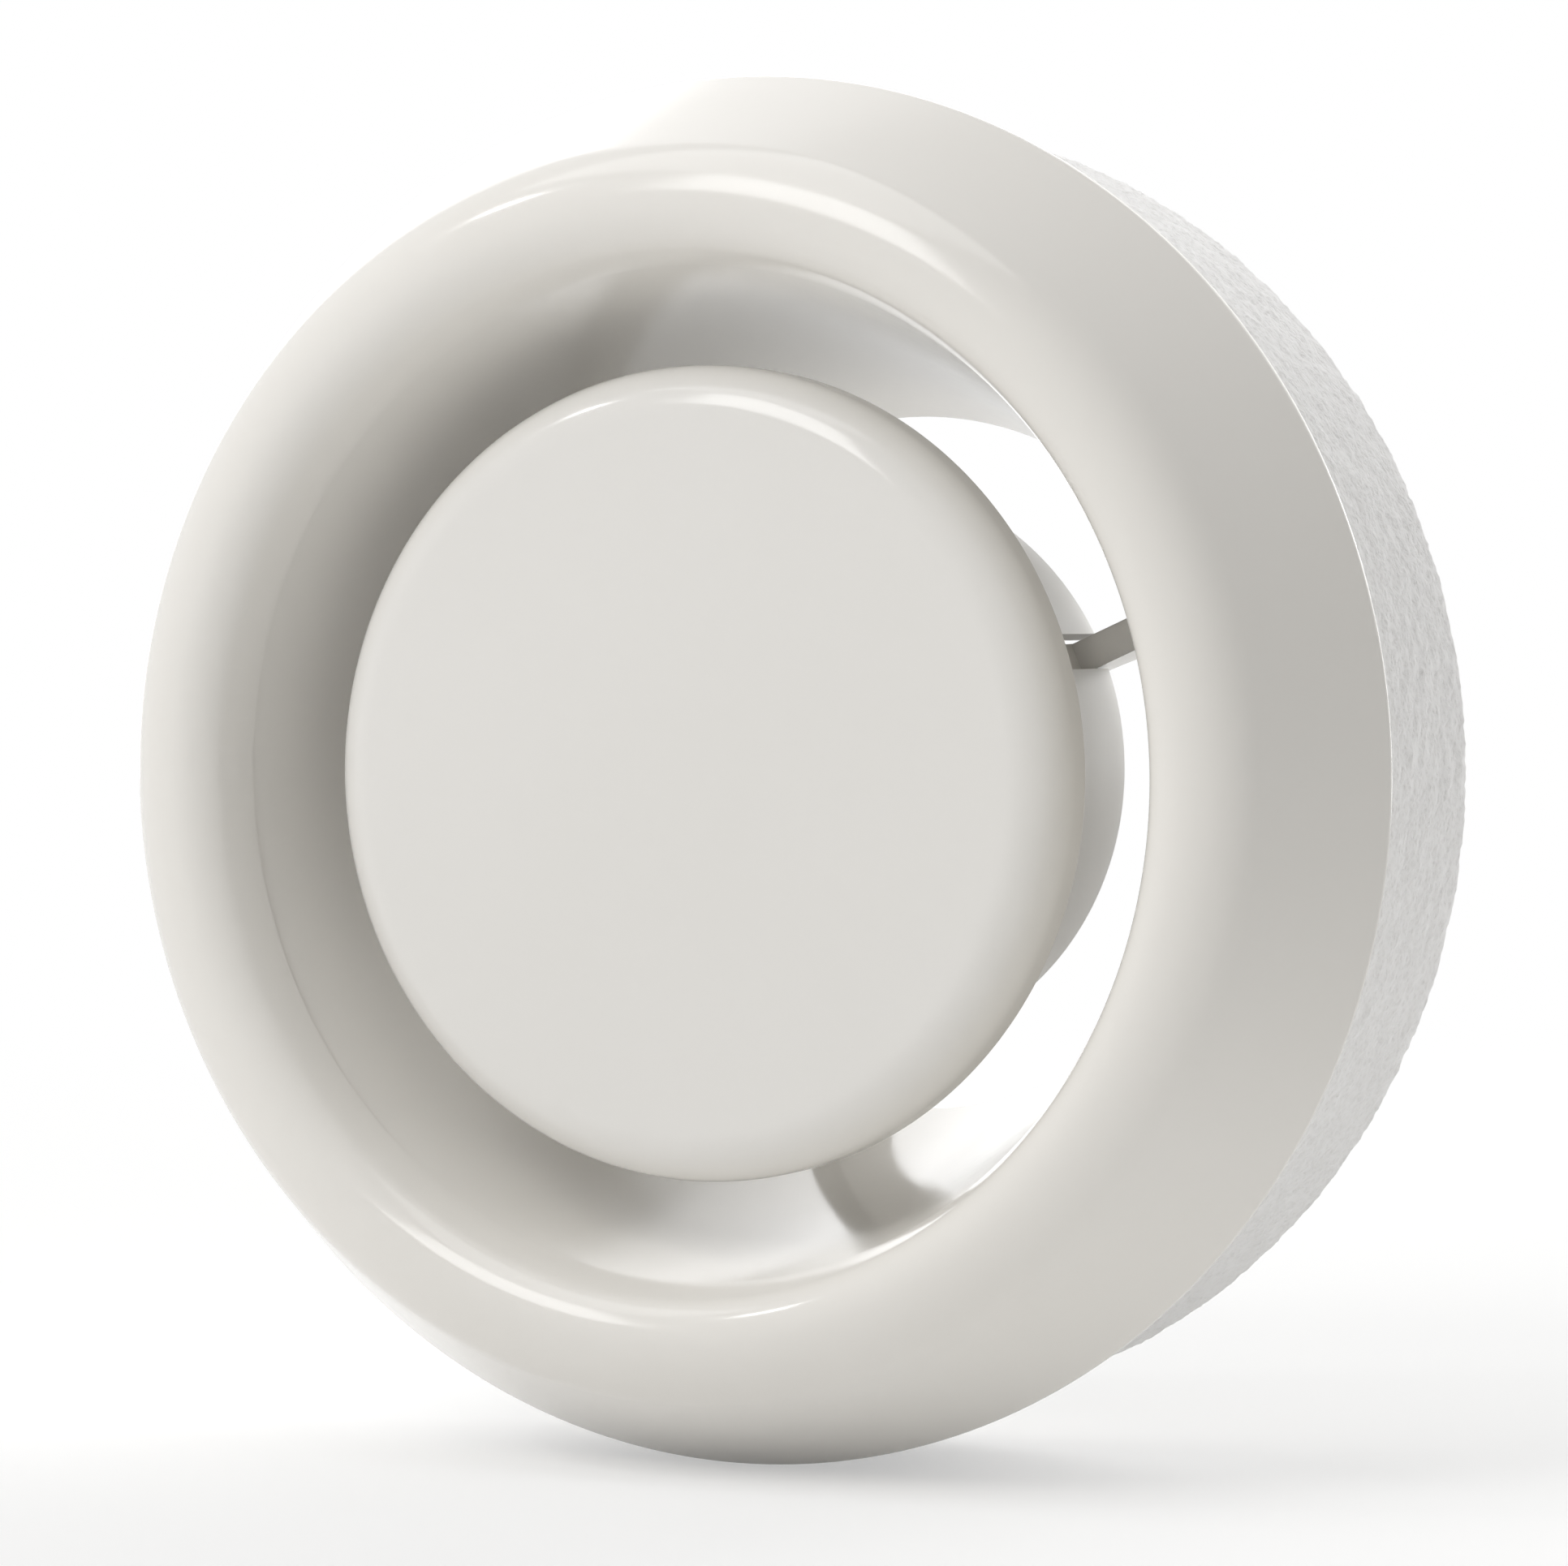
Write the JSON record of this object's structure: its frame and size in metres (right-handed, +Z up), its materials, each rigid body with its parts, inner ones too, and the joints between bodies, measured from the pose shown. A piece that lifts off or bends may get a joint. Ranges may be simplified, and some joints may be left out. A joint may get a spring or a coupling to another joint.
{
  "type": "extract air valve",
  "caption": "Round white extract air valve: cone skirt with rounded lip and funnel, a flat disc on a threaded spindle that turns in or out to set the air gap, and a foam ring for the duct.",
  "frame": {"origin": "on the valve's axis in the plane of the wall rim", "axes": "+Y along the axis into the duct, -Y towards the room, +Z up as pictured"},
  "size_m": [0.15, 0.0656, 0.15],
  "materials": {
    "body_plastic": "gloss",
    "disc_plastic": "gloss",
    "drum_plastic": "satin",
    "spindle_plastic": "satin",
    "spring_steel": "satin",
    "nut_steel": "zinc plated",
    "foam": "open-cell foam"
  },
  "bodies": {
    "housing": {"valve_body": "body_plastic", "foam_ring": "foam"},
    "drum": {"guide_drum": "drum_plastic"},
    "plug": {"valve_disc": "disc_plastic", "spindle": "spindle_plastic", "retaining_ring": "spring_steel", "stop_nut": "nut_steel"}
  },
  "joints": [
    {"name": "drum_travel", "type": "slide", "parent": "housing", "child": "drum", "axis": [0, 1, 0], "range_m": [-0.001, 0.013]},
    {"name": "disc_turn", "type": "hinge", "parent": "drum", "child": "plug", "pos_m": [0, 0, 0], "axis": [0, 1, 0], "range_deg": [-60, 780]}
  ],
  "couplings": [
    {"joint": "drum_travel", "follows": "disc_turn", "m_per_rad": 0.00095493}
  ]
}
